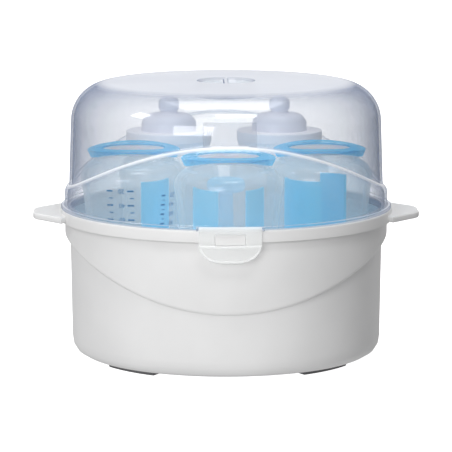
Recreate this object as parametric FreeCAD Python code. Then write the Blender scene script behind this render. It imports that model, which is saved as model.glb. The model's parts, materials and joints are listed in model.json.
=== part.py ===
import FreeCAD, Part
import math
import os

# Microwave steam bottle sterilizer, in millimetres.
# The origin is the centre of the footprint on the table, +Z is up, and the front faces -Y.

# ---- driving dimensions -------------------------------------------------------------------
handle_span = 280.0          # tip to tip, along X
foot_height = 2.5
wall = 2.4                   # bowl wall
lower_wall_radius = 112.2    # bowl, above its bottom round
lower_wall_top_radius = 113.5
bottom_round = 17.5
bulge_radius = 117.0         # the band that swells out round the upper bowl
bulge_edge_height = 48.0     # its lower edge, at the front centre
bulge_low_radius = 112.8     # the band's surface carried on down to this height
bulge_low_height = 40.0
bulge_full_height = 97.0     # where it reaches its full radius
sweep_radius = 195.0         # radius of the bowl's swept edge, seen from the front
lid_sweep_radius = 190.0     # radius of the lid's swept edge
rim_top = 108.4
rim_height = 8.5
rim_radius = 120.4
skirt_wall = 2.0
handle_tip_width = 28.0      # straight end of the handle, before its corners are rounded
handle_root_width = 124.0    # where its slanting sides run in under the rim
handle_top = 105.8
handle_thickness = 4.8
handle_corner = 17.0

lid_wall = 1.9
lid_flange_radius = 119.8
lid_flange_thickness = 2.4
lid_bulge_radius = 117.2
lid_upper_radius = 114.4
lid_shoulder_radius = 112.2
lid_round = 28.0
lid_side_top = 171.2         # where the side wall meets the top round
lid_crown = 0.8
lid_arch_height = 166.0      # upper edge of the lid's band, at the front centre
lid_arch_slope = 4.0
spigot_depth = 4.0
spigot_gap = 0.3
grip_radius = 20.3
grip_depth = 9.0
grip_bar_width = 3.3

clip_width = 43.5
clip_bottom = 86.4
clip_thickness = 1.8
clip_inner_radius = 121.5
clip_corner_across = 16.0
clip_corner_up = 12.5
clip_border = 1.4
window_width = 21.5
window_bottom = 98.1
window_top = 106.4
hinge_offset = 121.9         # hinge axis, out from the centre
hinge_height = 109.9
barrel_radius = 1.45
pin_radius = 0.70
pin_clearance = 0.05
ear_width = 1.4
ear_gap = 0.3

floor_top = foot_height + wall
rack_radius = 107.5
rack_top = 26.5
rack_thickness = 2.6
bottle_circle = 70.0         # the five bottles stand on a pentagon of this radius
peg_radius = 25.0
peg_wall = 2.2
peg_top = 132.0
stem_radius = 6.5
stem_top = 128.0

bottle_radius = 37.2
bottle_wall = 1.8
bottle_length = 122.9
neck_radius = 28.2
vent_end_radius = 28.6
cap_radius = 33.2
cap_plate = 2.2
cap_height = 9.4
cap_hole_radius = 22.5
cap_rim_sweep = 240.0        # radius of the wave along the cap's outer rim
cap_lobe_sweep = 73.0        # radius of the arches between the cap's two lobes
cap_thin_edge = 1.3
neck_seat = 2.0              # height of the ring that an upturned neck rests on
valve_thickness = 1.6
ring_radius = 31.75
nipple_bell_radius = 20.3
nipple_tip_radius = 7.6
nipple_height = 30.0         # above the bottle's neck

X_AXIS = FreeCAD.Vector(1, 0, 0)
Y_AXIS = FreeCAD.Vector(0, 1, 0)
Z_AXIS = FreeCAD.Vector(0, 0, 1)
CENTRE = FreeCAD.Vector(0, 0, 0)

# name, angle round the pentagon, neck down
bottle_places = [
    ("front", -90.0, True),
    ("right", -18.0, True),
    ("left", -162.0, True),
    ("rear_right", 54.0, False),
    ("rear_left", 126.0, False),
]
# curved blades of each peg: middle angle, width angle
peg_blades = {
    "front": [(216.0, 70.0), (330.0, 60.0)],
    "right": [(225.0, 90.0), (60.0, 50.0)],
    "left": [(320.0, 75.0)],
}


# ---- helpers ------------------------------------------------------------------------------
def vec(x, y, z):
    return FreeCAD.Vector(x, y, z)


def outline(start, *steps):
    """Closed edges in the XZ plane. A step is an end point, or an arc's middle and end."""
    edges = []
    here = vec(start[0], 0, start[1])
    for step in steps:
        end = vec(step[-2], 0, step[-1])
        if len(step) == 4:
            edges.append(Part.Arc(here, vec(step[0], 0, step[1]), end).toShape())
        else:
            edges.append(Part.LineSegment(here, end).toShape())
        here = end
    edges.append(Part.LineSegment(here, vec(start[0], 0, start[1])).toShape())
    return Part.Wire(edges)


def turned(start, *steps):
    """Solid of revolution about Z from an outline of (radius, height) points."""
    return Part.Face(outline(start, *steps)).revolve(CENTRE, Z_AXIS, 360)


def ring(inner, outer, bottom, top):
    return turned((inner, bottom), (outer, bottom), (outer, top), (inner, top))


def disc(radius, bottom, top):
    return Part.makeCylinder(radius, top - bottom, vec(0, 0, bottom), Z_AXIS)


def block(low, high):
    return Part.makeBox(high[0] - low[0], high[1] - low[1], high[2] - low[2], vec(*low))


def drum_along_y(radius, height, half_length):
    """Round bar along Y whose axis crosses the Z axis at this height."""
    return Part.makeCylinder(radius, 2 * half_length, vec(0, -half_length, height), Y_AXIS)


def upturned_drum(radius, height, half_length):
    """The same bar with its seam underneath, so that its top edge stays in one piece."""
    drum = drum_along_y(radius, height, half_length)
    drum.rotate(vec(0, 0, height), Y_AXIS, 180)
    return drum


def sector(radius, bottom, top, middle_angle, width_angle):
    """Pie slice of a disc, used to cut arc-shaped pieces."""
    piece = Part.makeCylinder(radius, top - bottom, vec(0, 0, bottom), Z_AXIS, width_angle)
    piece.rotate(CENTRE, Z_AXIS, middle_angle - width_angle / 2)
    return piece


def edges_where(shape, test):
    return [edge for edge in shape.Edges if test(edge)]


def turned_half(shape):
    """The same shape on the opposite side, half a turn round Z."""
    copy = shape.copy()
    copy.rotate(CENTRE, Z_AXIS, 180)
    return copy


def placed(shape, angle):
    """Move a shape from the centre to its place on the pentagon."""
    copy = shape.copy()
    turn = math.radians(angle)
    copy.translate(vec(bottle_circle * math.cos(turn), bottle_circle * math.sin(turn), 0))
    return copy


def save(name, shape):
    solid = shape.removeSplitter()
    if len(solid.Solids) == 1:
        solid = solid.Solids[0]
    assert solid.isValid(), name
    solid.exportStep("parts/" + name + ".step")
    print(name, "volume", round(solid.Volume), "solids", len(solid.Solids))


# ---- bowl ---------------------------------------------------------------------------------
def bowl_body(inset):
    """Lower wall and bottom of the bowl, shrunk by inset."""
    bottom = foot_height + inset
    radius = lower_wall_radius - inset
    bend = bottom_round - inset
    middle_x = radius - bend + bend * math.sin(math.radians(45))
    middle_z = bottom + bend - bend * math.cos(math.radians(45))
    return turned(
        (0, bottom), (radius - bend, bottom), (middle_x, middle_z, radius, bottom + bend),
        (lower_wall_top_radius - inset, rim_top), (0, rim_top))


def bowl_band(inset):
    """The swelling band of the bowl, above its swept lower edge, shrunk by inset."""
    full = bulge_radius - inset
    low = bulge_low_radius - inset
    middle_z = (bulge_low_height + bulge_full_height) / 2
    tube = turned(
        (0, bulge_low_height), (low, bulge_low_height),
        (full - (full - low) / 4, middle_z, full, bulge_full_height), (full, rim_top), (0, rim_top))
    sweep = drum_along_y(sweep_radius, bulge_edge_height + inset + sweep_radius, 150)
    band = tube.common(sweep)
    lower_edges = edges_where(band, lambda e: e.BoundBox.ZMin < 60 and e.BoundBox.ZMax < 95
                              and e.BoundBox.XLength > 100)
    return band.makeFillet(3.2, lower_edges)


def rim_skirt():
    inner = bulge_radius - wall
    return turned(
        (inner, rim_top - 2.2), (rim_radius - skirt_wall, rim_top - 2.2),
        (rim_radius - skirt_wall, rim_top - rim_height), (rim_radius - 0.5, rim_top - rim_height),
        (rim_radius - 0.1, rim_top - rim_height + 0.15, rim_radius, rim_top - rim_height + 0.5),
        (rim_radius, rim_top - 1.2), (rim_radius - 0.35, rim_top - 0.35, rim_radius - 1.2, rim_top),
        (inner, rim_top))


def handle():
    """Flat ear on the +X side: slanting sides, round corners and a shallow thumb dish."""
    tip = handle_span / 2
    tip_half = handle_tip_width / 2
    root_half = handle_root_width / 2
    low = handle_top - handle_thickness
    points = [vec(100, -root_half, low), vec(tip, -tip_half, low),
              vec(tip, tip_half, low), vec(100, root_half, low)]
    plate = Part.Face(Part.makePolygon(points + points[:1])).extrude(vec(0, 0, handle_thickness))
    corners = edges_where(plate, lambda e: e.BoundBox.ZLength > 1 and e.BoundBox.XMin > tip - 1)
    plate = plate.makeFillet(handle_corner, corners)
    outer_edges = edges_where(plate, lambda e: e.BoundBox.ZLength < 0.1 and e.BoundBox.XMax > 101)
    plate = plate.makeFillet(1.6, outer_edges)
    dish_radius = 90.0
    dish = Part.makeSphere(dish_radius, vec(127.5, 0, handle_top - 0.8 + dish_radius))
    return plate.cut(dish).cut(disc(rim_radius - skirt_wall, 90, rim_top))


def catch():
    """Pad on the front of the rim that fills the clip's window from behind."""
    half = window_width / 2 - 0.3
    pad = ring(rim_radius - 1, clip_inner_radius - 0.3, window_bottom + 0.3, window_top - 0.3)
    return pad.common(block((-half, -130, 90), (half, -100, rim_top)))


def base_bowl():
    shell = bowl_body(0).fuse(bowl_band(0))
    hollow = bowl_body(wall).fuse(bowl_band(wall))
    shell = shell.cut(hollow)
    right = handle()
    front = catch()
    return shell.multiFuse([rim_skirt(), right, turned_half(right), front, turned_half(front)])


def foot(angle):
    pad = ring(92, 100, 0, foot_height).common(sector(105, -1, 5, angle, 26))
    bottom = edges_where(pad, lambda e: e.BoundBox.ZMax < 0.1)
    return pad.makeFillet(0.8, bottom)


# ---- lid ----------------------------------------------------------------------------------
def lid_body(inset):
    """Upper wall, top round and crown of the lid, shrunk by inset."""
    bend = lid_round - inset
    side = lid_shoulder_radius - inset
    flat_edge = lid_shoulder_radius - lid_round
    top = lid_side_top + bend
    slant = bend * math.sin(math.radians(45))
    return turned(
        (0, rim_top), (lid_upper_radius - inset, rim_top), (side, lid_side_top),
        (flat_edge + slant, lid_side_top + slant, flat_edge, top),
        (flat_edge / 2, top + lid_crown * 0.75, 0, top + lid_crown))


def lid_band(inset):
    """The proud band of the lid, below its swept upper edge, shrunk by inset."""
    radius = lid_bulge_radius - inset
    tube = turned((0, rim_top), (radius, rim_top), (radius - 0.5, 175), (0, 175))
    arch = upturned_drum(lid_sweep_radius, lid_arch_height - inset - lid_sweep_radius, 150)
    band = tube.common(arch)
    arch_edges = edges_where(band, lambda e: e.BoundBox.ZMax > 150 and e.BoundBox.ZMin > 112
                             and e.BoundBox.XLength > 100)
    return band.makeChamfer(lid_arch_slope, lid_arch_slope - 0.8, arch_edges)


def grip_cup():
    top = lid_side_top + lid_round
    floor = top - grip_depth
    cup = disc(grip_radius + lid_wall, floor - lid_wall, top + lid_crown)
    return cup.common(lid_body(0)), disc(grip_radius, floor, top + 5), floor, top


def clip_ears():
    """Hinge bar for the front clip, and the two ears on the flange that hold it."""
    start = clip_width / 2 + ear_gap
    bar = Part.makeCylinder(pin_radius, 2 * start, vec(-start, -hinge_offset, hinge_height), X_AXIS)
    pieces = [bar]
    for side in (-1, 1):
        low_x = min(side * start, side * (start + ear_width))
        eye = Part.makeCylinder(
            barrel_radius, ear_width, vec(low_x, -hinge_offset, hinge_height), X_AXIS)
        arm = block((low_x, -hinge_offset, rim_top),
                    (low_x + ear_width, -115, hinge_height + 0.9))
        pieces += [eye.common(block((-50, -130, rim_top), (50, -100, 115))), arm]
    return pieces


def lid_dome():
    shell = lid_body(0).fuse(lid_band(0)).fuse(
        disc(lid_flange_radius, rim_top, rim_top + lid_flange_thickness))
    shell = shell.cut(lid_body(lid_wall).fuse(lid_band(lid_wall)))
    spigot_outer = bulge_radius - wall - spigot_gap
    spigot = ring(spigot_outer - 1.8, spigot_outer, rim_top - spigot_depth, rim_top + 1.6)
    bridge = ring(spigot_outer - 1.8, lid_flange_radius - 1, rim_top, rim_top + 1.6)
    cup, pocket, floor, top = grip_cup()
    bar = block((-grip_bar_width / 2, -grip_radius, floor), (grip_bar_width / 2, grip_radius, top))
    ears = clip_ears()
    lid = shell.multiFuse([spigot, bridge, cup]).cut(pocket)
    return lid.multiFuse([bar] + ears + [turned_half(ear) for ear in ears])


# ---- clips --------------------------------------------------------------------------------
def clip_outline(border):
    """Front view of the clip as a plate, shrunk by border, with big lower corners."""
    half = clip_width / 2 - border
    low = clip_bottom + border
    side = low + clip_corner_up - border
    flat = half - (clip_corner_across - border)
    slant = math.sin(math.radians(45))
    across = clip_corner_across - border
    up = clip_corner_up - border
    wire = outline(
        (-half, hinge_height), (-half, side),
        (-flat - across * slant, side - up * slant, -flat, low), (flat, low),
        (flat + across * slant, side - up * slant, half, side), (half, hinge_height))
    return Part.Face(wire).extrude(vec(0, -200, 0))


def window():
    half = window_width / 2
    hole = block((-half, -130, window_bottom), (half, -110, window_top))
    corners = edges_where(hole, lambda e: e.BoundBox.YLength > 10)
    return hole.makeFillet(1.8, corners)


def front_clip():
    outer = clip_inner_radius + clip_thickness
    strap = ring(clip_inner_radius, outer, clip_bottom - 1, hinge_height)
    strap = strap.common(clip_outline(0))
    panel = ring(outer - 0.5, outer + 1, clip_bottom, window_bottom + 0.5 - 1.6)
    strap = strap.cut(panel.common(clip_outline(clip_border)))
    half = clip_width / 2
    barrel = Part.makeCylinder(
        barrel_radius, clip_width, vec(-half, -hinge_offset, hinge_height), X_AXIS)
    bore = Part.makeCylinder(
        pin_radius + pin_clearance, clip_width, vec(-half, -hinge_offset, hinge_height), X_AXIS)
    keep = ring(110, rim_radius + 0.3, 80, rim_top)
    snap_slot = block((-half, -hinge_offset, hinge_height - 0.5),
                      (half, -hinge_offset + 3, hinge_height + 0.6))
    return strap.fuse(barrel).cut(window()).cut(bore).cut(snap_slot).cut(keep)


# ---- rack ---------------------------------------------------------------------------------
def rack_tray():
    """Round tray that holds the bottles above the water, with seats and steam holes."""
    tray = disc(rack_radius, rack_top - rack_thickness, rack_top)
    pieces = [ring(rack_radius - 2.2, rack_radius, rack_top - 8, rack_top)]
    holes = []
    for name, angle, neck_down in bottle_places:
        locating_ring = ring(cap_radius + 1.0, cap_radius + 2.6, rack_top - 0.5, rack_top + 2.0)
        pieces.append(placed(locating_ring, angle))
        holes.append(placed(disc(12.0, 0, rack_top + 1), angle))
        for step in range(6):
            slot = disc(2.6, 0, rack_top + 1)
            turn = math.radians(step * 60 + angle)
            slot.translate(vec(18.0 * math.cos(turn), 18.0 * math.sin(turn), 0))
            holes.append(placed(slot, angle))
    tray = tray.cut(holes[0].multiFuse(holes[1:]))
    return tray.multiFuse(pieces).cut(disc(stem_radius - 2, 0, rack_top + 1))


def rack_leg(angle):
    """Leg under the tray, between two bottles."""
    turn = math.radians(angle + 36)
    leg = disc(5.0, floor_top, rack_top - rack_thickness)
    leg.translate(vec(88 * math.cos(turn), 88 * math.sin(turn), 0))
    return leg


def rack_stem():
    """Central lifting stem with a round grip."""
    foot_plate = disc(13, rack_top, rack_top + 2)
    shaft = turned((0, rack_top), (stem_radius, rack_top), (stem_radius - 1.5, stem_top - 8),
                   (0, stem_top - 8))
    knob = turned((0, stem_top - 9), (8, stem_top - 9), (13.4, stem_top - 7.4, 14, stem_top - 4.5),
                  (13.4, stem_top - 1.6, 8, stem_top), (0, stem_top))
    spigot = disc(stem_radius - 2.05, rack_top - rack_thickness, rack_top + 1)
    return foot_plate.multiFuse([shaft, knob, spigot])


def bottle_peg(blades):
    """Post that holds an upturned bottle: curved blades on a foot ring."""
    foot_ring = ring(peg_radius - 6.5, neck_radius + 1.3, rack_top, rack_top + neck_seat)
    tube = ring(peg_radius - peg_wall, peg_radius, rack_top + 1, peg_top)
    cuts = [sector(peg_radius + 5, rack_top, peg_top + 1, middle, width)
            for middle, width in blades]
    return foot_ring.multiFuse([tube.common(cut) for cut in cuts])


# ---- bottles ------------------------------------------------------------------------------
def flipped(shape):
    """Stand a bottle piece on its neck: turn it over and set the neck on its seat."""
    copy = shape.copy()
    copy.rotate(CENTRE, X_AXIS, 180)
    total = cap_plate + valve_thickness + bottle_length
    copy.translate(vec(0, 0, 2 * rack_top + neck_seat + total))
    return copy


def bottle_profile(inset, bottom):
    """Hourglass outline, from the vent end at the bottom to the neck at the top."""
    top = bottom + bottle_length
    grow = bottle_radius - inset
    return [
        (0, bottom), (vent_end_radius - inset, bottom), (vent_end_radius - inset, bottom + 6),
        (grow - 1.6, bottom + 11, grow, bottom + 24),
        (grow - 2.6, bottom + 60, grow - 0.2, bottom + 94),
        (grow - 2.4, bottom + 103, neck_radius - inset, bottom + 109),
        (neck_radius - inset, top), (0, top)]


def bottle_body():
    bottom = rack_top + cap_plate + valve_thickness
    outer = turned(*bottle_profile(0, bottom))
    inner = turned(*bottle_profile(bottle_wall, bottom))
    bead_height = bottom + bottle_length - 12
    bead = ring(neck_radius - 1, neck_radius + 0.9, bead_height, bead_height + 1.2)
    return outer.fuse(bead).cut(inner)


def base_cap():
    """Screw cap of the vent end: its rim waves, and its skirt hangs in a lobe on two sides."""
    top = rack_top + cap_height
    inner = vent_end_radius + 0.3
    plate = ring(cap_hole_radius, inner + 0.6, rack_top, rack_top + cap_plate)
    skirt = turned(
        (inner, rack_top), (cap_radius - 1.4, rack_top),
        (cap_radius - 0.4, rack_top + 0.4, cap_radius, rack_top + 1.4),
        (inner + 1.3, top), (inner, top))
    arch = drum_along_y(cap_lobe_sweep, rack_top + cap_thin_edge + cap_lobe_sweep, 40)
    wave = drum_along_y(cap_rim_sweep, rack_top + cap_rim_sweep, 40)
    return plate.fuse(skirt.cut(arch)).common(wave)


def base_valve():
    """Soft vent disc held between the cap and the bottle, with a raised middle."""
    bottom = rack_top + cap_plate
    top = bottom + valve_thickness
    middle = 12.0
    rise = 1.0
    return turned(
        (0, bottom + rise), (middle, bottom + rise), (middle + 4, bottom),
        (vent_end_radius, bottom), (vent_end_radius, top), (middle + 4, top),
        (middle, top + rise), (0, top + rise))


def screw_ring():
    neck_top = rack_top + cap_plate + valve_thickness + bottle_length
    top = neck_top + 4.0
    outer = ring_radius
    inside = neck_radius + 1.2
    return turned(
        (inside, top - 15), (outer - 2.2, top - 15), (outer - 0.4, top - 7.8),
        (outer, top - 7.2), (outer, top - 1.2), (outer - 0.35, top - 0.35, outer - 1.2, top),
        (nipple_bell_radius + 0.4, top), (nipple_bell_radius + 0.4, top - 1.9),
        (inside, top - 1.9))


def nipple_outline(inset, neck_top):
    """Wide bell that narrows to a waist under the round tip, shrunk by inset."""
    bell = nipple_bell_radius - inset
    tip = nipple_tip_radius - inset
    base = neck_top - inset
    top = base + nipple_height
    tip_rise = 4.5
    tip_round = (tip * tip + tip_rise * tip_rise) / (2 * tip_rise)
    half_turn = math.asin(tip / tip_round) / 2
    return [
        (0, neck_top - 1), (bell, neck_top - 1), (bell, base + 9.5),
        (bell - 3.2, base + 14.6, bell - 10.5, base + 16.6),
        (tip - 0.7, base + 17.3, tip - 1.4, base + 18.4), (tip, base + 20.3),
        (tip, top - tip_rise),
        (tip_round * math.sin(half_turn), top - tip_round * (1 - math.cos(half_turn)), 0, top)]


def nipple():
    neck_top = rack_top + cap_plate + valve_thickness + bottle_length
    flange = disc(neck_radius + 0.6, neck_top, neck_top + 2.0)
    bell = turned(*nipple_outline(0, neck_top)).common(disc(30, neck_top, neck_top + 60))
    return flange.fuse(bell).cut(turned(*nipple_outline(1.7, neck_top)))


# ---- write the pieces -----------------------------------------------------------------------
def main():
    os.makedirs("parts", exist_ok=True)
    save("base_bowl", base_bowl())
    for name, angle in (("front_right", -45), ("rear_right", 45),
                        ("rear_left", 135), ("front_left", -135)):
        save("foot_" + name, foot(angle))
    save("lid_dome", lid_dome())
    clip = front_clip()
    save("front_clip", clip)
    save("rear_clip", turned_half(clip))
    save("rack_tray", rack_tray())
    save("rack_stem", rack_stem())
    for number, (name, angle, neck_down) in enumerate(bottle_places):
        save("rack_leg_" + str(number + 1), rack_leg(angle))
        pieces = {"bottle_body_": bottle_body(), "base_cap_": base_cap(),
                  "base_valve_": base_valve()}
        if neck_down:
            pieces = {prefix: flipped(piece) for prefix, piece in pieces.items()}
            pieces["bottle_peg_"] = bottle_peg(peg_blades[name])
        else:
            pieces["screw_ring_"] = screw_ring()
            pieces["nipple_"] = nipple()
        for prefix, piece in pieces.items():
            save(prefix + name, placed(piece, angle))


main()
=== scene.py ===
import json
import math

import bmesh
import bpy
from mathutils import Matrix, Vector

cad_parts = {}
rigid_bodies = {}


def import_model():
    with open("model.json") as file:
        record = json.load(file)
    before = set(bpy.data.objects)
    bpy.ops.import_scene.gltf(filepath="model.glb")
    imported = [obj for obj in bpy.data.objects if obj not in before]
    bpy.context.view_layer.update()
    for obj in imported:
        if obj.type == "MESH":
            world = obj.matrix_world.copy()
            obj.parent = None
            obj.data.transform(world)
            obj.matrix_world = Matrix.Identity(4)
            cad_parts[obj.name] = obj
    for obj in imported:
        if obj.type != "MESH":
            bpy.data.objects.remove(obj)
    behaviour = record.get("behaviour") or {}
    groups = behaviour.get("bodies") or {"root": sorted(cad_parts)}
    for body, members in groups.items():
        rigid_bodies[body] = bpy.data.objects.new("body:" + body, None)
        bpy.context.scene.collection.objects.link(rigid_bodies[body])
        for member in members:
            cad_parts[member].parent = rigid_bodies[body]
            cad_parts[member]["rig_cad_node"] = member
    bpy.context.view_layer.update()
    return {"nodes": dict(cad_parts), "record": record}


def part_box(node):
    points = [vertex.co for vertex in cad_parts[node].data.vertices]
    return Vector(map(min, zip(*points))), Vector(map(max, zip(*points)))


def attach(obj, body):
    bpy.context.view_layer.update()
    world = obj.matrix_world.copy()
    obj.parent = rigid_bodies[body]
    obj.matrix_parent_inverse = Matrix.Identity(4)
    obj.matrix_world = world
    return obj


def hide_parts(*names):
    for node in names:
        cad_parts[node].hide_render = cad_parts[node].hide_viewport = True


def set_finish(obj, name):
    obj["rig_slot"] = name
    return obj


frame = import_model()

MM = 0.001
FULL_TURN = 2 * math.pi

# ---- places, from the frame ----------------------------------------------------------------
clip_low, clip_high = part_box("front_clip")
HANDLE_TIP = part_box("base_bowl")[1].x / MM
CLIP_HALF = clip_high.x / MM
CLIP_BOTTOM = clip_low.z / MM
BOTTLES = {name[len("bottle_body_"):] for name in frame["nodes"] if name.startswith("bottle_body_")}
UPRIGHT = {name[len("nipple_"):] for name in frame["nodes"] if name.startswith("nipple_")}

# ---- shape of the bowl and the lid, in millimetres -------------------------------------------
BOWL_SWEEP = 195.0       # radius of the bowl's swept edge, seen from the front
LID_SWEEP = 190.0
BOWL_BOTTOM = 2.5
BOWL_WALL = 2.4
BOWL_ROUND = 17.5        # bend between the bottom and the wall
BOWL_ROUND_TOP = 30      # the wall is straight from here up
BOWL_LOW_R = 112.2
BOWL_TOP_R = 113.5
BAND_R = 117.0
BAND_EDGE = 48.0         # height of the band's lower edge at the front
BAND_SOFT = 3.4          # height of the rounding along that edge
BAND_FULL = 97.0         # height where the band reaches its full radius
BAND_LOW = 40.0          # its surface carried on down to BAND_LOW_R at this height
BAND_LOW_R = 112.8
RIM_TOP = 108.4
RIM_R = 120.4
SKIRT_BOTTOM = 99.9
HANDLE_TIP_HALF = 14.0   # straight end of the handle
HANDLE_ROOT_HALF = 62.0  # half width where its slanting sides meet the line x = HANDLE_WIDE_X
HANDLE_WIDE_X = 100.0
HANDLE_ROOT_X = 113.6    # the handle's inner end, hidden in the skirt
HANDLE_TUCK = 15.0       # how much narrower than the slant it is at that inner end
HANDLE_CORNER = 17
HANDLE_TOP = 105.8
HANDLE_THICK = 4.8

LID_WALL = 1.9
FLANGE_R = 119.8
FLANGE_TOP = 110.8
LID_BAND_R = 117.2
LID_UPPER_R = 114.4
SHOULDER_R = 112.2
LID_ROUND = 28.0
SIDE_TOP = 171.2
CROWN = 0.8
ARCH = 166.0             # height of the shoulder's upper line at the front
ARCH_DROP = 4.0
SPIGOT_R = 114.3
GRIP_R = 20.3
GRIP_FLOOR = 190.2
GRIP_BAR = 3.3

HINGE_OUT = 121.9
HINGE_UP = 109.9
PIN_R = 0.7
BARREL_R = 1.45
EAR_HALF = 0.7           # half the thickness of the ears that hold the pin
EAR_GAP = 0.3
STRAP_IN = 121.5
WINDOW = (-10.75, 10.75, 98.1, 106.4)

CAP_R = 33.2
CAP_PLATE = 2.2
CAP_TOP = 9.4
CAP_EDGE = 1.3           # thickness of the cap's rim between its lobes
CAP_HOLE = 22.5
CAP_WAVE = 240.0
CAP_ARCH = 73.0
VENT_R = 28.6
BODY_R = 37.2
BODY_START = 3.8         # above the cap's outer face
BODY_WALL = 1.8
NECK_R = 28.2
NECK_TOP = 126.7
RING_R = 31.75
BELL_R = 20.3
TIP_R = 7.6
NIPPLE_HIGH = 30.0


# ---- mesh helpers ----------------------------------------------------------------------------
def rounded(corners, steps=4):
    """Line through (r, z, bend) corners, in which every corner with a bend is an arc."""
    points = []
    for i, (r, z, bend) in enumerate(corners):
        here = Vector((r, z))
        if bend <= 0 or i in (0, len(corners) - 1):
            points.append(here)
            continue
        before = Vector(corners[i - 1][:2]) - here
        after = Vector(corners[i + 1][:2]) - here
        half = before.angle(after) / 2
        reach = min(bend / math.tan(half), 0.48 * before.length, 0.48 * after.length)
        start = here + before.normalized() * reach
        end = here + after.normalized() * reach
        for k in range(steps + 1):
            t = k / steps
            points.append(start.lerp(here, t).lerp(here.lerp(end, t), t))
    return points


def object_from(name, bm, sharp=40):
    bmesh.ops.recalc_face_normals(bm, faces=bm.faces)
    mesh = bpy.data.meshes.new(name)
    bm.to_mesh(mesh)
    bm.free()
    mesh.shade_smooth()
    mesh.set_sharp_from_angle(angle=math.radians(sharp))
    obj = bpy.data.objects.new(name, mesh)
    bpy.context.scene.collection.objects.link(obj)
    return obj


def skin(name, profile_at, segments):
    """Closed skin round Z. profile_at(angle) gives (r, z) points from pole to pole, or a closed
    loop when neither end is on the axis, with as many points at every angle."""
    bm = bmesh.new()
    rings = []
    for s in range(segments):
        angle = FULL_TURN * s / segments
        ring = []
        for r, z in profile_at(angle):
            ring.append(bm.verts.new((r * math.cos(angle) * MM, r * math.sin(angle) * MM, z * MM)))
        rings.append(ring)
    count = len(rings[0])
    first_r = profile_at(0)[0][0]
    spans = count - 1 if first_r < 1e-6 else count
    for s in range(segments):
        a, b = rings[s], rings[(s + 1) % segments]
        for k in range(spans):
            m = (k + 1) % count
            bm.faces.new((a[k], a[m], b[m], b[k]))
    bmesh.ops.remove_doubles(bm, verts=bm.verts, dist=1e-6)
    return object_from(name, bm)


def turned(name, corners, segments):
    """Lathe-turned closed piece from (r, z, bend) corners."""
    if corners[0][0] > 0:
        points = rounded(corners + corners[:1])[:-1]
    else:
        points = rounded(corners)
    return skin(name, lambda angle: points, segments)


def mesh_of(curve):
    """Mesh made from a curve, which is then removed."""
    source = bpy.data.objects.new("source", curve)
    bpy.context.scene.collection.objects.link(source)
    bpy.context.view_layer.update()
    mesh = bpy.data.meshes.new_from_object(source.evaluated_get(bpy.context.evaluated_depsgraph_get()))
    bpy.data.objects.remove(source)
    bpy.data.curves.remove(curve)
    return mesh


def flat_plate(name, outline, thickness, bevel, holes=()):
    """Plate in the XY plane from (x, y) outlines in mm, with softened edges, centred on z = 0."""
    curve = bpy.data.curves.new(name, "CURVE")
    curve.dimensions = "2D"
    curve.fill_mode = "BOTH"
    curve.extrude = (thickness / 2 - bevel) * MM
    curve.bevel_depth = bevel * MM
    curve.bevel_resolution = 3
    curve.offset = -bevel * MM
    for points in (outline, *holes):
        spline = curve.splines.new("POLY")
        spline.points.add(len(points) - 1)
        for point, (x, y) in zip(spline.points, points):
            point.co = (x * MM, y * MM, 0, 1)
        spline.use_cyclic_u = True
    mesh = mesh_of(curve)
    bm = bmesh.new()
    bm.from_mesh(mesh)
    bpy.data.meshes.remove(mesh)
    bmesh.ops.remove_doubles(bm, verts=bm.verts, dist=1e-6)
    return bm


def slice_mesh(bm, axis, low, high, step):
    """Cut a mesh with planes across an axis every step, so that it can bend smoothly."""
    normal = Vector((0, 0, 0))
    normal[axis] = 1
    place = low
    while place < high:
        point = normal * place * MM
        geometry = bm.verts[:] + bm.edges[:] + bm.faces[:]
        bmesh.ops.bisect_plane(bm, geom=geometry, plane_co=point, plane_no=normal, dist=1e-7)
        place += step


def rounded_box(x0, x1, y0, y1, corner, steps=8):
    """Outline of a rectangle with round corners; corner is one radius, or (low, high) in y."""
    low, high = corner if isinstance(corner, tuple) else (corner, corner)
    points = []
    for cx, cy, radius, start in ((x1 - high, y1 - high, high, 0), (x0 + high, y1 - high, high, 90),
                                  (x0 + low, y0 + low, low, 180), (x1 - low, y0 + low, low, 270)):
        for k in range(steps + 1):
            a = math.radians(start + 90 * k / steps)
            points.append((cx + radius * math.cos(a), cy + radius * math.sin(a)))
    return points


def joined(name, objects):
    """One object from several closed shells."""
    bm = bmesh.new()
    for obj in objects:
        bm.from_mesh(obj.data)
        old = obj.data
        bpy.data.objects.remove(obj)
        bpy.data.meshes.remove(old)
    return object_from(name, bm)


def moved(obj, matrix):
    obj.data.transform(matrix)
    if matrix.determinant() < 0:
        obj.data.flip_normals()
    return obj


HALF_TURN = Matrix.Rotation(math.pi, 4, "Z")


# ---- bowl ------------------------------------------------------------------------------------
def swoosh(angle):
    """Height of the bowl band's lower edge."""
    x = BAND_R * math.cos(angle)
    return BAND_EDGE + BOWL_SWEEP - math.sqrt(BOWL_SWEEP ** 2 - x ** 2)


def lower_wall(z):
    return BOWL_LOW_R + (BOWL_TOP_R - BOWL_LOW_R) * (z - 20) / (RIM_TOP - 20)


def band_wall(z):
    t = max(0.0, (BAND_FULL - z) / (BAND_FULL - BAND_LOW))
    return BAND_R - (BAND_R - BAND_LOW_R) * t * t


def band_rows(edge, inset, count=12):
    """Wall of the band: a softly rounded lower edge, then a swell to its full radius."""
    foot = lower_wall(edge)
    soft = edge + BAND_SOFT
    rows = []
    for k in range(1, 7):
        turn = math.radians(15 * k)
        r = foot + (band_wall(soft) - foot) * math.sin(turn)
        rows.append((r - inset, edge + inset + BAND_SOFT * (1 - math.cos(turn)), 0))
    for k in range(1, count + 1):
        z = soft + inset + (BAND_FULL - soft - inset) * k / count
        rows.append((band_wall(z) - inset, z, 0))
    return rows


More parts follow.
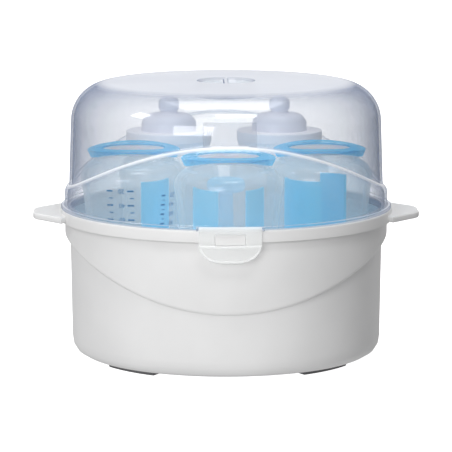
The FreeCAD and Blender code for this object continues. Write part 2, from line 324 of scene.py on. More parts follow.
def bowl_profile(angle):
    edge = swoosh(angle)
    inner_floor = BOWL_BOTTOM + BOWL_WALL
    low_in = BOWL_LOW_R - BOWL_WALL
    outer = [
        (0, BOWL_BOTTOM + 1.2, 0), (84, BOWL_BOTTOM + 1.2, 1), (86, BOWL_BOTTOM, 1),
        (BOWL_LOW_R - 0.2, BOWL_BOTTOM, BOWL_ROUND), (lower_wall(BOWL_ROUND_TOP), BOWL_ROUND_TOP, 0),
        (lower_wall(edge), edge, 0.4)]
    outer += band_rows(edge, 0)
    rim = [
        (BAND_R, RIM_TOP - 2.2, 0.4), (RIM_R - 2, RIM_TOP - 2.2, 0.4), (RIM_R - 2, SKIRT_BOTTOM, 0.4),
        (RIM_R, SKIRT_BOTTOM, 0.6), (RIM_R, RIM_TOP, 1.3), (BAND_R - BOWL_WALL, RIM_TOP, 0.8)]
    inner = list(reversed(band_rows(edge, BOWL_WALL)))
    inner += [(lower_wall(edge + BOWL_WALL) - BOWL_WALL, edge + BOWL_WALL, 0.5),
              (lower_wall(BOWL_ROUND_TOP) - BOWL_WALL, BOWL_ROUND_TOP, 0),
              (low_in, inner_floor, 15), (0, inner_floor, 0)]
    return rounded(outer + rim + inner)


def handle_outline():
    """Plan of the right handle: slanting sides and round outer corners."""
    slope = (HANDLE_ROOT_HALF - HANDLE_TIP_HALF) / (HANDLE_TIP - HANDLE_WIDE_X)
    mouth_x = HANDLE_ROOT_X + 5
    root_half = HANDLE_TIP_HALF + slope * (HANDLE_TIP - HANDLE_ROOT_X) - HANDLE_TUCK
    mouth_half = HANDLE_TIP_HALF + slope * (HANDLE_TIP - mouth_x)
    half = [(HANDLE_ROOT_X, root_half, 0), (mouth_x, mouth_half, 0),
            (HANDLE_TIP, HANDLE_TIP_HALF, HANDLE_CORNER)]
    other_half = [(x, -y, bend) for x, y, bend in reversed(half)]
    return [(point.x, point.y) for point in reversed(rounded(half + other_half, 10))]


def handle(side):
    """Ear with a shallow dish on top, let into the rim's skirt."""
    dish_x, dish_long, dish_wide, dish_deep = 127.5, 10.5, 23, 0.9
    bm = flat_plate("handle", handle_outline(), HANDLE_THICK, 1.5)
    slice_mesh(bm, 0, 114, HANDLE_TIP, 2.0)
    slice_mesh(bm, 1, -40, 41, 2.0)
    for v in bm.verts:
        out = (v.co.x / MM - dish_x) / dish_long
        along = v.co.y / MM / dish_wide
        inside = max(0.0, 1 - out ** 2 - along ** 2)
        if v.co.z > 0:
            v.co.z -= dish_deep * MM * inside ** 1.2
        v.co.z += (HANDLE_TOP - HANDLE_THICK / 2) * MM
    obj = object_from("handle", bm, 50)
    return obj if side > 0 else moved(obj, HALF_TURN)


def catch(front):
    """White pad behind the clip's window."""
    left, right, low, high = WINDOW
    outline = rounded_box(left + 0.3, right - 0.3, low + 0.3, high - 0.3, 1.4, 4)
    bm = flat_plate("catch", outline, 2.2, 0.4)
    slice_mesh(bm, 0, left, right, 2.0)
    wrap_front(bm, STRAP_IN - 0.3 - 1.1)
    obj = object_from("catch", bm, 50)
    return obj if front else moved(obj, HALF_TURN)


def wrap_front(bm, radius):
    """Bend a plate drawn in XY (height as Y) round Z at a radius, facing the front."""
    for v in bm.verts:
        x, height, depth = v.co
        reach = radius * MM + depth
        turn = x / (radius * MM)
        v.co = (reach * math.sin(turn), -reach * math.cos(turn), height)


def make_bowl():
    shell = skin("bowl_shell", bowl_profile, 288)
    bowl = joined("bowl", [shell, handle(1), handle(-1), catch(True), catch(False)])
    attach(bowl, "base")
    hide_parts("base_bowl")
    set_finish(bowl, "bowl_white")


# ---- lid -------------------------------------------------------------------------------------
def arch_line(angle):
    """Height of the upper line of the lid's swept shoulder."""
    x = LID_BAND_R * math.cos(angle)
    return ARCH - LID_SWEEP + math.sqrt(LID_SWEEP ** 2 - x ** 2)


def upper_wall(z):
    return LID_UPPER_R + (SHOULDER_R - LID_UPPER_R) * (z - RIM_TOP) / (SIDE_TOP - RIM_TOP)


def crown_height(r):
    edge = SHOULDER_R - LID_ROUND
    return SIDE_TOP + LID_ROUND + CROWN * (1 - (r / edge) ** 2)


def lid_half(angle, inset):
    """One face of the lid from the crown's inner edge down to the flange."""
    edge = SHOULDER_R - LID_ROUND
    start = GRIP_R + inset
    rows = []
    for k in range(1, 7):
        r = start + (edge - start) * k / 7
        rows.append((r, crown_height(r) - inset, 0))
    for k in range(13):
        a = math.radians(90 - 90 * k / 12)
        bend = LID_ROUND - inset
        rows.append((edge + bend * math.cos(a), SIDE_TOP + bend * math.sin(a), 0))
    line = arch_line(angle) - inset
    for k in range(1, 7):
        z = SIDE_TOP + (line + 3 - SIDE_TOP) * k / 6
        rows.append((upper_wall(z) - inset, z, 0))
    low = line - ARCH_DROP
    rows += [(upper_wall(line) - inset, line, 2.0), (LID_BAND_R - 0.4 - inset, low, 1.6)]
    for k in range(1, 6):
        z = low - 2 + (FLANGE_TOP + 4 - low + 2) * k / 6
        rows.append((LID_BAND_R - 0.3 * k / 6 - inset, z, 0))
    return rows


def lid_profile(angle):
    top = crown_height(GRIP_R)
    corners = [(0, GRIP_FLOOR, 0), (GRIP_R - 0.3, GRIP_FLOOR, 1.6), (GRIP_R, top, 1.3)]
    corners += lid_half(angle, 0)
    corners += [
        (LID_BAND_R, FLANGE_TOP, 0.9), (FLANGE_R, FLANGE_TOP, 0.9), (FLANGE_R, RIM_TOP + 0.02, 0.6),
        (SPIGOT_R, RIM_TOP + 0.02, 0.3), (SPIGOT_R, RIM_TOP - 4, 0.5),
        (SPIGOT_R - 1.8, RIM_TOP - 4, 0.5), (SPIGOT_R - 1.8, RIM_TOP + 1.6, 0.5),
        (LID_BAND_R - LID_WALL, RIM_TOP + 1.6, 0.6)]
    corners += list(reversed(lid_half(angle, LID_WALL)))
    corners += [(GRIP_R + LID_WALL, crown_height(GRIP_R) - LID_WALL, 0.8),
                (GRIP_R + LID_WALL, GRIP_FLOOR - LID_WALL, 1.5), (0, GRIP_FLOOR - LID_WALL, 0)]
    return rounded(corners)


def grip_bar():
    """Thin web across the grip pocket."""
    height = crown_height(0) - 0.6 - GRIP_FLOOR + 1
    outline = rounded_box(-GRIP_BAR / 2, GRIP_BAR / 2, -GRIP_R - 0.5, GRIP_R + 0.5, 0.6, 3)
    bm = flat_plate("grip_bar", outline, height, 0.6)
    slice_mesh(bm, 1, -18, 19, 4.0)
    obj = object_from("grip_bar", bm, 50)
    lift = (GRIP_FLOOR - 1 + height / 2) * MM
    return moved(obj, Matrix.Translation((0, 0, lift)))


def front_plate():
    """Faint raised flat on the front of the dome, above the arch."""
    half, bottom, top = 18.5, ARCH - 2, ARCH + 16
    bm = flat_plate("front_plate", rounded_box(-half, half, bottom, top, 1.2, 4), 0.8, 0.25)
    slice_mesh(bm, 0, 0.5 - half, half, 1.5)
    slice_mesh(bm, 1, bottom + 1, top, 1.5)
    for v in bm.verts:
        x, height, depth = v.co
        z = height / MM
        if z < SIDE_TOP:
            reach = upper_wall(z) * MM
        else:
            over = (z - SIDE_TOP) / LID_ROUND
            reach = (SHOULDER_R - LID_ROUND + LID_ROUND * math.sqrt(1 - over ** 2)) * MM
        turn = x / reach
        v.co = ((reach + depth) * math.sin(turn), -(reach + depth) * math.cos(turn), height)
    return object_from("front_plate", bm, 50)


def hinge_ear(side):
    x = side * (CLIP_HALF + EAR_GAP + EAR_HALF)
    eye = turned("ear", [(0, -EAR_HALF, 0), (BARREL_R, -EAR_HALF, 0.25), (BARREL_R, EAR_HALF, 0.25),
                         (0, EAR_HALF, 0)], 32)
    moved(eye, Matrix.Translation((x * MM, -HINGE_OUT * MM, HINGE_UP * MM)) @
          Matrix.Rotation(math.pi / 2, 4, "Y"))
    outline = rounded_box(x - EAR_HALF, x + EAR_HALF, -HINGE_OUT, -115.5, 0.3, 2)
    arm = object_from("arm", flat_plate("arm", outline, 2.1, 0.25), 50)
    moved(arm, Matrix.Translation((0, 0, (RIM_TOP + 1.2) * MM)))
    return [eye, arm]


def hinge_bar():
    half = CLIP_HALF + 1
    bar = turned("bar", [(0, -half, 0), (PIN_R, -half, 0.2), (PIN_R, half, 0.2), (0, half, 0)], 24)
    return moved(bar, Matrix.Translation((0, -HINGE_OUT * MM, HINGE_UP * MM)) @
                 Matrix.Rotation(math.pi / 2, 4, "Y"))


def mark_highlight_and_mist(lid):
    """Value 1 along the arch line for its painted highlight, and 1 on all above it for its mistier
    plastic.
    """
    arch = lid.data.attributes.new("arch", "FLOAT", "POINT").data
    upper = lid.data.attributes.new("upper", "FLOAT", "POINT").data
    for vertex, on_line, above in zip(lid.data.vertices, arch, upper):
        x, y, z = vertex.co / MM
        line = arch_line(math.atan2(y, x))
        on_line.value = float(line - 2.0 < z < line - 0.3 and math.hypot(x, y) > 110)
        above.value = float(z > line - 1.0)


def make_lid():
    front = [hinge_bar()] + hinge_ear(1) + hinge_ear(-1)
    rear = [moved(part, HALF_TURN) for part in [hinge_bar()] + hinge_ear(1) + hinge_ear(-1)]
    shell = skin("lid_shell", lid_profile, 288)
    lid = joined("lid", [shell, grip_bar(), front_plate()] + front + rear)
    mark_highlight_and_mist(lid)
    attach(lid, "lid")
    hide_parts("lid_dome")
    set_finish(lid, "lid_tinted")


# ---- clips -----------------------------------------------------------------------------------
def clip_barrel():
    """Snap barrel: a tube round the hinge bar, open on its inner side."""
    inner = PIN_R + 0.05
    points = []
    gap = 28
    for k in range(25):
        a = math.radians(gap + (360 - 2 * gap) * k / 24)
        points.append((BARREL_R * math.cos(a), BARREL_R * math.sin(a)))
    for k in range(25):
        a = math.radians(360 - gap - (360 - 2 * gap) * k / 24)
        points.append((inner * math.cos(a), inner * math.sin(a)))
    bm = flat_plate("barrel", points, 2 * CLIP_HALF, 0.12)
    obj = object_from("barrel", bm, 50)
    stand = Matrix(((0, 0, 1, 0), (1, 0, 0, -HINGE_OUT * MM), (0, 1, 0, HINGE_UP * MM), (0, 0, 0, 1)))
    return moved(obj, stand)


def clip_plate(name, outline, inner, outer, bevel, holes=()):
    bm = flat_plate(name, outline, outer - inner, bevel, holes)
    slice_mesh(bm, 0, -CLIP_HALF + 1, CLIP_HALF, 2.0)
    wrap_front(bm, (inner + outer) / 2)
    return object_from(name, bm, 50)


def tab_outline(border, top):
    """Lower thumb tab, shrunk by a border: straight top, big round lower corners."""
    half = CLIP_HALF - border
    low = CLIP_BOTTOM + border
    across = 16.0 - border
    up = 12.5 - border
    shut = min(1.0, max(0.0, (low + up - top) / up))
    first = math.degrees(math.asin(shut))
    corner = []
    for k in range(17):
        a = math.radians(first + (90 - first) * k / 16)
        corner.append((half - across + across * math.cos(a), low + up - up * math.sin(a)))
    points = [] if shut else [(half, top)]
    points += corner
    return points + [(-x, z) for x, z in reversed(points)]


def make_clip(front):
    left, right, low, high = WINDOW
    window = rounded_box(left, right, low, high, 1.8, 5)
    strap = clip_plate("strap", rounded_box(-CLIP_HALF, CLIP_HALF, 97.4, HINGE_UP, 0.4, 3),
                       STRAP_IN, STRAP_IN + 1.3, 0.3, [window])
    tab = clip_plate("tab", tab_outline(0, low + 0.2), STRAP_IN, STRAP_IN + 1.55, 0.35)
    border = clip_plate("border", tab_outline(0.1, low + 0.1), STRAP_IN + 1.0, STRAP_IN + 1.83, 0.3,
                        [tab_outline(1.5, low - 1.4)])
    name = "front_clip" if front else "rear_clip"
    clip = joined(name + "_moulding", [clip_barrel(), strap, tab, border])
    if not front:
        moved(clip, HALF_TURN)
    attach(clip, name)
    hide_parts(name)
    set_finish(clip, "clip_natural")


# ---- bottles ---------------------------------------------------------------------------------
def arc(start, middle, end, count=10):
    """Points of the arc from start through middle to end, without its start."""
    (ax, ay), (bx, by), (cx, cy) = start, middle, end
    d = 2 * (ax * (by - cy) + bx * (cy - ay) + cx * (ay - by))
    aa, bb, cc = ax * ax + ay * ay, bx * bx + by * by, cx * cx + cy * cy
    ox = (aa * (by - cy) + bb * (cy - ay) + cc * (ay - by)) / d
    oy = (aa * (cx - bx) + bb * (ax - cx) + cc * (bx - ax)) / d
    radius = math.hypot(ax - ox, ay - oy)
    first = math.atan2(ay - oy, ax - ox)
    turn = math.atan2(cy - oy, cx - ox) - first
    turn = (turn + math.pi) % FULL_TURN - math.pi
    steps = [first + turn * k / count for k in range(1, count + 1)]
    return [(ox + radius * math.cos(a), oy + radius * math.sin(a), 0) for a in steps]


def bottle_side(inset):
    """The hourglass wall from the vent end up to the neck."""
    r = BODY_R - inset
    b = BODY_START
    waist = [(VENT_R - inset, b + 6, 0.8)]
    waist += arc((VENT_R - inset, b + 6), (r - 1.6, b + 11), (r, b + 24))
    waist += arc((r, b + 24), (r - 2.6, b + 60), (r - 0.2, b + 94), 24)
    waist += arc((r - 0.2, b + 94), (r - 2.4, b + 103), (NECK_R - inset, b + 109))
    return waist


def seat(obj, name):
    """Stand a piece drawn with its bottle's vent end at z = 0 where that bottle stands."""
    low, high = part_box("bottle_body_" + name)
    x, y = (low.x + high.x) / 2, (low.y + high.y) / 2
    if name in UPRIGHT:
        return moved(obj, Matrix.Translation((x, y, low.z - BODY_START * MM)))
    turn = Matrix.Rotation(math.pi, 4, "X")
    return moved(obj, Matrix.Translation((x, y, high.z + BODY_START * MM)) @ turn)


def add_bottle_piece(obj, name, node, slot):
    seat(obj, name)
    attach(obj, "bottle_" + name)
    if node:
        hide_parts(node)
    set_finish(obj, slot)


def bottle_body(name):
    b = BODY_START
    corners = [(VENT_R - BODY_WALL, b, 0.5), (VENT_R, b, 0.5)] + bottle_side(0)
    for bead in (110.9, 115.6, 118.9):
        corners += [(NECK_R, b + bead - 0.7, 0.2), (NECK_R + 0.9, b + bead, 0.3),
                    (NECK_R + 0.9, b + bead + 0.9, 0.3), (NECK_R, b + bead + 1.6, 0.2)]
    corners += [(NECK_R, NECK_TOP, 0.5), (NECK_R - BODY_WALL, NECK_TOP, 0.5)]
    corners += list(reversed(bottle_side(BODY_WALL)))
    body = turned("bottle_" + name, corners, 128)
    add_bottle_piece(body, name, "bottle_body_" + name, "bottle_frosted")


def cap_profile(angle):
    """Screw cap: its rim waves, and its skirt hangs in a lobe on two sides."""
    inner = VENT_R + 0.3
    across = inner * math.cos(angle)
    lip = min(CAP_TOP, CAP_EDGE + CAP_ARCH - math.sqrt(CAP_ARCH ** 2 - across ** 2) + 0.2)

    def wave(r):
        x = r * math.cos(angle)
        return CAP_WAVE - math.sqrt(CAP_WAVE ** 2 - x ** 2)

    outer = CAP_R - 3.0 * max(0.0, lip - 1.4) / (CAP_TOP - 1.4)
    return rounded([
        (CAP_HOLE, wave(CAP_HOLE), 0.4), (inner + 1, wave(inner + 1), 1), (CAP_R, wave(CAP_R), 0.9),
        (CAP_R, wave(CAP_R) + 0.5 * CAP_EDGE, 0.3), (outer, lip + 0.3, 0.4),
        (inner, max(lip, CAP_PLATE) + 0.2, 0.3), (inner, CAP_PLATE, 0.2), (CAP_HOLE, CAP_PLATE, 0.4)])


def base_cap(name):
    cap = skin("cap_" + name, cap_profile, 144)
    add_bottle_piece(cap, name, "base_cap_" + name, "cap_blue")


def ring_profile(angle):
    """Screw ring with fine grip ribs on its flare."""
    top = NECK_TOP + 4
    rib = 0.3 * (0.5 + 0.5 * math.cos(60 * angle))
    inside = NECK_R + 1.2
    return rounded([
        (inside, top - 15, 0.2), (RING_R - 1.9 - rib, top - 14.4, 0.4),
        (RING_R - 0.4 - rib, top - 7.8, 0.3), (RING_R, top - 7.2, 0.3), (RING_R, top, 1.2),
        (BELL_R + 0.4, top, 0.5), (BELL_R + 0.4, top - 1.9, 0.3), (inside, top - 1.9, 0.3)])


def nipple_side(inset):
    base = NECK_TOP - inset
    bell = BELL_R - inset
    tip = TIP_R - inset
    top = base + NIPPLE_HIGH
    rise = 4.5
    bend = (tip * tip + rise * rise) / (2 * rise)
    half = math.asin(tip / bend) / 2
    side = [(bell, base + 9.5, 0)]
    side += arc((bell, base + 9.5), (bell - 3.2, base + 14.6), (bell - 10.5, base + 16.6))
    side += arc(side[-1][:2], (tip - 0.7, base + 17.3), (tip - 1.4, base + 18.4), 5)
    side += [(tip, base + 20.3, 1.2), (tip, top - rise, 0)]
    middle = (bend * math.sin(half), top - bend * (1 - math.cos(half)))
    return side + arc((tip, top - rise), middle, (0, top))


def nipple(name):
    """Bell and tip with their flange, as one closed wall."""
    flange_r = NECK_R + 0.6
    outer = [(BELL_R - 1.7, NECK_TOP, 0.3), (flange_r, NECK_TOP, 0.3), (flange_r, NECK_TOP + 2, 0.3),
             (BELL_R, NECK_TOP + 2, 0.4)] + nipple_side(0)
    corners = list(reversed(outer)) + nipple_side(1.7)
    obj = turned("nipple_top_" + name, corners, 96)
    add_bottle_piece(obj, name, "nipple_" + name, "nipple_silicone")


def print_on_bottle(bm, turn):
    """Wrap flat print (x round the bottle, y as height) on the bottle, a hair proud of it."""
    wall = [(p[1], p[0]) for p in bottle_side(0)]
    for v in bm.verts:
        x, z = v.co.x / MM, v.co.y / MM
        for (z0, r0), (z1, r1) in zip(wall, wall[1:]):
            if z0 <= z <= z1:
                reach = r0 + (r1 - r0) * (z - z0) / (z1 - z0) + 0.06
                break
        a = turn + x / reach
        v.co = (reach * math.cos(a) * MM, reach * math.sin(a) * MM, z * MM)


def number(bm, text, x, z, size):
    """Number drawn flat, with the middle of its left edge at (x, z) in mm."""
    curve = bpy.data.curves.new("number", "FONT")
    curve.body = text
    curve.size = size * MM
    curve.align_x = "LEFT"
    curve.align_y = "CENTER"
    mesh = mesh_of(curve)
    mesh.transform(Matrix.Translation((x * MM, z * MM, 0)))
    bm.from_mesh(mesh)
    bpy.data.meshes.remove(mesh)


def tick(bm, x, z, width, thick):
    """Line drawn flat from (x, z) to the right, in mm."""
    half = thick / 2
    corners = [(x, z - half), (x + width, z - half), (x + width, z + half), (x, z + half)]
    bm.faces.new([bm.verts.new((px * MM, pz * MM, 0)) for px, pz in corners])


def scale_print(name, kind, turn):
    """Measuring scale, generic numbers: "double" has ticks on both sides of its numbers."""
    bm = bmesh.new()
    double = kind == "double"
    start, pitch, count = (24, 5.2, 15) if double else (28, 3.4, 21)
    for step in range(count):
        z = BODY_START + start + pitch * step
        long = step % 2 == 0
        width, thick = (4.6, 1.2) if long else (2.8, 0.7)
        if double:
            tick(bm, -10.0, z, width, thick)
        tick(bm, 5.4, z, width if double else 0.7 * width, thick)
        if long:
            number(bm, str(10 * (step + 2)), -3.6, z, 4.6)
    print_on_bottle(bm, turn)
    obj = object_from("scale_" + kind + "_" + name, bm)
    add_bottle_piece(obj, name, None, "cap_blue")


def make_bottles():
    for name in sorted(BOTTLES):
        bottle_body(name)
        base_cap(name)
        if name in UPRIGHT:
            ring = skin("ring_" + name, ring_profile, 360)
            add_bottle_piece(ring, name, "screw_ring_" + name, "ring_white")
            nipple(name)


# ---- materials -------------------------------------------------------------------------------
def add(tree, kind, **inputs):
    """New shader node; a value that is a socket is linked, any other is set."""
    made = tree.nodes.new("ShaderNode" + kind)
    for socket, value in inputs.items():
        target = made.inputs[socket.replace("_", " ")]
        if isinstance(value, bpy.types.NodeSocket):
            tree.links.new(value, target)
        else:
            target.default_value = value
    return made


def new_material(name):
    material = bpy.data.materials.new(name)
    material.use_nodes = True
    tree = material.node_tree
    tree.nodes.clear()
    return material, tree


def tone(tree, dark, light, scale):
    """Slow drift between two close colours through the piece."""
    place = add(tree, "TexCoord").outputs["Object"]
    noise = add(tree, "TexNoise", Vector=place, Scale=scale, Detail=3.0)
    ramp = add(tree, "ValToRGB", Fac=noise.outputs["Fac"])
    ramp.color_ramp.elements[0].position = 0.35
    ramp.color_ramp.elements[1].position = 0.65
    ramp.color_ramp.elements[0].color = (*dark, 1)
    ramp.color_ramp.elements[1].color = (*light, 1)
    return ramp.outputs["Color"]


def grain(tree, scale, strength):
    """Bumps a tenth of a millimetre high."""
    place = add(tree, "TexCoord").outputs["Object"]
    noise = add(tree, "TexNoise", Vector=place, Scale=scale, Detail=2.0)
    bump = add(tree, "Bump", Strength=strength, Distance=0.1 * MM, Height=noise.outputs["Fac"])
    return bump.outputs["Normal"]


def surface(tree, shader):
    add(tree, "OutputMaterial", Surface=shader)


def plastic(name, dark, light, rough, scatter=0.0, lift=0.0):
    """Opaque moulded plastic; lift is a painted glow: emission that stands in for the light that seeps
    through it and reaches it.
    """
    material, tree = new_material(name)
    color = tone(tree, dark, light, 18)
    shader = add(tree, "BsdfPrincipled", Base_Color=color, Roughness=rough,
                 Normal=grain(tree, 900, 0.05), Subsurface_Weight=scatter, Subsurface_Scale=0.004,
                 Emission_Color=color, Emission_Strength=lift)
    surface(tree, shader.outputs["BSDF"])
    return material


def calculated(tree, operation, first, second):
    """Value of a Math node; each operand is a number or a socket."""
    made = tree.nodes.new("ShaderNodeMath")
    made.operation = operation
    for socket, value in zip(made.inputs, (first, second)):
        if isinstance(value, bpy.types.NodeSocket):
            tree.links.new(value, socket)
        else:
            socket.default_value = value
    return made.outputs["Value"]


def mixed(tree, amount, first, second):
    """Shader between two shaders; amount is the share of the second."""
    made = add(tree, "MixShader", Fac=amount)
    tree.links.new(first, made.inputs[1])
    tree.links.new(second, made.inputs[2])
    return made.outputs["Shader"]


def paint_highlight(tree, body, amount, facing):
    """Painted highlight over a shader: a white that glows by itself on the flat top seen at a low
    angle, in place of its reflection of the bright room, and along the marked arch, in place of the
    highlight of the light above.
    """
    height = add(tree, "SeparateXYZ", Vector=add(tree, "NewGeometry").outputs["Normal"])
    level = add(tree, "MapRange", Value=height.outputs["Z"], From_Min=0.93)
    marked = add(tree, "Attribute")
    marked.attribute_name = "arch"
    top = calculated(tree, "MULTIPLY", level.outputs["Result"], calculated(tree, "POWER", facing, 2.0))
    where = calculated(tree, "MAXIMUM", top, marked.outputs["Fac"])
    # colour of the painted highlight: a pale white lit by its own emission
    color = tone(tree, (0.80, 0.81, 0.84), (0.84, 0.85, 0.87), 14)
    white = add(tree, "BsdfPrincipled", Base_Color=color, Roughness=0.4, Emission_Color=color,
                Emission_Strength=0.35)
    return mixed(tree, calculated(tree, "MULTIPLY", where, amount), body, white.outputs["BSDF"])


def blended(tree, amount, first, second):
    """Colour between two colours."""
    made = tree.nodes.new("ShaderNodeMix")
    made.data_type = "RGBA"
    tree.links.new(amount, made.inputs[0])
    tree.links.new(first, made.inputs[6])
    tree.links.new(second, made.inputs[7])
    return made.outputs[2]


def milk(tree, color, normal, glow, lift):
    """Milky body of a plastic: part lit from the front, part from behind, part by a painted glow of
    its own colour.
    """
    front_lit = add(tree, "BsdfDiffuse", Color=color, Normal=normal).outputs["BSDF"]
    back_lit = add(tree, "BsdfTranslucent", Color=color, Normal=normal).outputs["BSDF"]
    both = tree.nodes.new("ShaderNodeAddShader")
    tree.links.new(mixed(tree, glow, front_lit, back_lit), both.inputs[0])
    # painted glow: emission of the body's own colour at the strength lift
    painted_glow = add(tree, "Emission", Color=color, Strength=lift).outputs["Emission"]
    tree.links.new(painted_glow, both.inputs[1])
    return both.outputs["Shader"]


def see_through(name, tint, faced, edge_on, haze, edge, rough, gloss, glow=0.3, power=3.0, lift=0.0,
                painted_highlight_amount=0.0, mist=0.0):
    """Thin tinted plastic: clear when faced, milkier and of another colour where it turns away."""
    material, tree = new_material(name)
    facing = add(tree, "LayerWeight", Blend=0.5).outputs["Facing"]
    paler = tone(tree, faced, [min(1.0, value + 0.05) for value in faced], 14)
    deeper = tone(tree, edge_on, [min(1.0, value + 0.05) for value in edge_on], 14)
    color = blended(tree, facing, paler, deeper)
    normal = grain(tree, 500, 0.03)
    clear = add(tree, "BsdfTransparent", Color=(*tint, 1)).outputs["BSDF"]
    turned_away = calculated(tree, "POWER", facing, power)
    amount = calculated(tree, "ADD", calculated(tree, "MULTIPLY", turned_away, edge - haze), haze)
    if mist:
        upper = add(tree, "Attribute")
        upper.attribute_name = "upper"
        extra = calculated(tree, "MULTIPLY", upper.outputs["Fac"], mist)
        amount = calculated(tree, "ADD", amount, extra)
    # lift gives the milky body a painted glow in place of light reaching it
    body = mixed(tree, amount, clear, milk(tree, color, normal, glow, lift))
    # painted highlight and painted reflection laid over the body where asked for
    if painted_highlight_amount:
        body = paint_highlight(tree, body, painted_highlight_amount, facing)
    shine = add(tree, "BsdfAnisotropic", Color=(1, 1, 1, 1), Roughness=rough, Normal=normal)
    mirror = calculated(tree, "MULTIPLY", calculated(tree, "POWER", facing, 5.0), gloss)
    share = calculated(tree, "ADD", mirror, 0.04)
    surface(tree, mixed(tree, share, body, shine.outputs["BSDF"]))
    return material


def make_materials():
    return {
        "bowl_white": plastic("bowl_white", (0.78, 0.78, 0.78), (0.82, 0.82, 0.82), 0.3),
        "foot_grey": plastic("foot_grey", (0.10, 0.10, 0.105), (0.14, 0.14, 0.145), 0.6),
        # the lid's flat top and its arch carry a painted highlight
        "lid_tinted": see_through("lid_tinted", (0.968, 0.972, 0.980), (0.55, 0.57, 0.62),
                                  (0.21, 0.26, 0.40), 0.045, 0.68, 0.08, 0.2, power=2.5, painted_highlight_amount=0.65,
                                  mist=0.075),
        # the clip's lift is a faint painted glow
        "clip_natural": see_through("clip_natural", (0.98, 0.98, 0.98), (0.86, 0.87, 0.87),
                                    (0.90, 0.91, 0.91), 0.5, 0.85, 0.25, 0.2, lift=0.13),
        # the rack's lift is a strong painted glow that brightens it inside the lid
        "rack_blue": plastic("rack_blue", (0.004, 0.42, 0.66), (0.008, 0.45, 0.72), 0.4, lift=0.55),
        # the bottles' lift is a painted glow in place of light inside the lid
        "bottle_frosted": see_through("bottle_frosted", (0.98, 0.99, 1.0), (0.62, 0.67, 0.68),
                                      (0.68, 0.73, 0.74), 0.24, 0.65, 0.2, 0.15, 0.5, lift=0.3),
        # the caps' lift is a painted glow in place of light inside the lid
        "cap_blue": see_through("cap_blue", (0.80, 0.95, 1.0), (0.10, 0.55, 0.84), (0.14, 0.60, 0.88),
                                0.3, 0.85, 0.2, 0.15, 0.4, lift=0.25),
        "print_blue": plastic("print_blue", (0.02, 0.20, 0.42), (0.03, 0.24, 0.48), 0.5),
        "valve_silicone": plastic("valve_silicone", (0.72, 0.76, 0.82), (0.78, 0.82, 0.88), 0.4, 0.3),
        # the ring's lift is a painted glow
        "ring_white": plastic("ring_white", (0.86, 0.87, 0.92), (0.90, 0.91, 0.96), 0.4, lift=0.15),
        # the nipple's lift is a painted glow
        "nipple_silicone": plastic("nipple_silicone", (0.70, 0.72, 0.80), (0.76, 0.78, 0.86), 0.35,
                                   lift=0.15),
    }


def dress(materials):
    """Give every piece and every CAD node the material of its slot."""
    node_slots = {part["node"]: part["material_slot"] for part in frame["record"]["subparts"]}
    for obj in bpy.context.scene.objects:
        if obj.type == "MESH":
            slot = obj.get("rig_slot") or node_slots.get(obj.get("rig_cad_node"))
            obj.data.materials.clear()
            printed = obj.name.startswith("scale_")
            obj.data.materials.append(materials["print_blue" if printed else slot])


# ---- studio ----------------------------------------------------------------------------------
def area_light(name, place, aim, size, power):
    light = bpy.data.lights.new(name, "AREA")
    light.shape = "RECTANGLE"
    light.size, light.size_y = size
    light.energy = power
    obj = bpy.data.objects.new(name, light)
    obj.location = place
    obj.rotation_euler = (Vector(aim) - Vector(place)).to_track_quat("-Z", "Y").to_euler()
    obj.visible_camera = False
    bpy.context.scene.collection.objects.link(obj)


def floor():
    bpy.ops.mesh.primitive_plane_add(size=30, location=(0, 6, 0))
    plane = bpy.context.object
    plane.name = "floor"
    plane.visible_diffuse = False
    plane.visible_glossy = False
    material, tree = new_material("floor_pale")
    color = tone(tree, (0.90, 0.90, 0.90), (0.92, 0.92, 0.92), 0.6)
    shader = add(tree, "BsdfPrincipled", Base_Color=color, Roughness=0.9, Emission_Color=(1, 1, 1, 1),
                 Emission_Strength=0.95, Normal=grain(tree, 40, 0.02))
    surface(tree, shader.outputs["BSDF"])
    plane.data.materials.append(material)


def stops(tree, value, places):
    """Colour ramp over a value from a list of (position, colour)."""
    ramp = add(tree, "ValToRGB", Fac=value)
    elements = ramp.color_ramp.elements
    while len(elements) < len(places):
        elements.new(0.5)
    for element, (position, level) in zip(elements, places):
        element.position = position
        element.color = (*level, 1)
    return ramp.outputs["Color"]


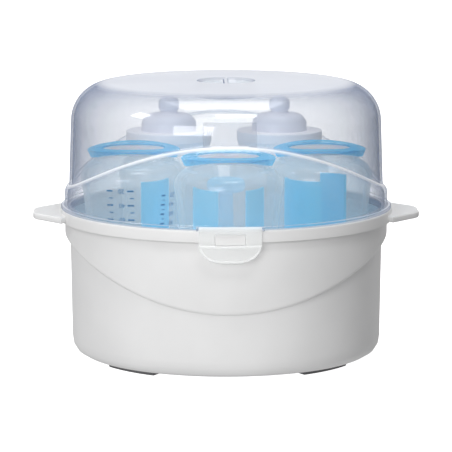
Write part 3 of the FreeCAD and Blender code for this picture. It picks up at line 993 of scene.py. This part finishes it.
def surroundings():
    """Soft studio: bright from the left and the front, dim on the right, bright overhead."""
    world = bpy.data.worlds.new("studio")
    bpy.context.scene.world = world
    world.use_nodes = True
    tree = world.node_tree
    tree.nodes.clear()
    place = add(tree, "TexCoord").outputs["Generated"]
    axes = add(tree, "SeparateXYZ", Vector=place)
    across = add(tree, "MapRange", Value=axes.outputs["X"], From_Min=-1.0)
    upward = add(tree, "MapRange", Value=axes.outputs["Z"], From_Min=-1.0)
    sides = stops(tree, across.outputs["Result"], [
        (0.0, (0.2, 0.2, 0.22)), (0.12, (0.95, 0.95, 0.95)), (0.3, (1, 1, 1)), (0.6, (1, 1, 1)),
        (0.8, (0.95, 0.95, 0.95)), (0.91, (0.2, 0.2, 0.21)), (1.0, (0.0, 0.0, 0.0))])
    layers = stops(tree, upward.outputs["Result"], [
        (0.0, (0.6, 0.6, 0.6)), (0.42, (0.82, 0.82, 0.82)), (0.6, (0.8, 0.8, 0.8)),
        (0.85, (0.4, 0.4, 0.4))])
    both = add(tree, "VectorMath")
    both.operation = "MULTIPLY"
    tree.links.new(sides, both.inputs[0])
    tree.links.new(layers, both.inputs[1])
    behind = add(tree, "MapRange", Value=axes.outputs["Y"], From_Min=0.0, From_Max=0.7, To_Min=1.0,
                 To_Max=0.75)
    glow = add(tree, "Background", Color=both.outputs["Vector"], Strength=behind.outputs["Result"])
    add(tree, "OutputWorld", Surface=glow.outputs["Background"])


def lights():
    area_light("key", (-0.9, -1.9, 0.7), (0, 0, 0.1), (1.1, 0.9), 15)
    area_light("top_front", (0.15, -0.9, 1.6), (0, 0, 0.15), (0.7, 0.25), 6)
    area_light("overhead", (0, 0.1, 1.5), (0, 0, 0.15), (1.0, 0.8), 9)
    area_light("left_high", (-1.6, -0.3, 1.5), (0, 0, 0.15), (0.4, 0.4), 5)


def camera():
    """Straight on and a little above, from the left of the middle."""
    data = bpy.data.cameras.new("camera")
    data.sensor_width = 36
    data.lens = 224.6
    obj = bpy.data.objects.new("camera", data)
    obj.location = (-0.0496, -2.0294, 0.407)
    aim = Vector((0, 0, 0.0934))
    obj.rotation_euler = (aim - obj.location).to_track_quat("-Z", "Y").to_euler()
    bpy.context.scene.collection.objects.link(obj)
    bpy.context.scene.camera = obj


# ---- build -----------------------------------------------------------------------------------
make_bowl()
make_lid()
make_clip(True)
make_clip(False)
make_bottles()
scale_print("left", "double", math.radians(105.5))
scale_print("left", "single", math.radians(44))
dress(make_materials())

floor()
surroundings()
lights()
camera()
scene = bpy.context.scene
scene.view_settings.view_transform = "Standard"
scene.cycles.transparent_max_bounces = 48
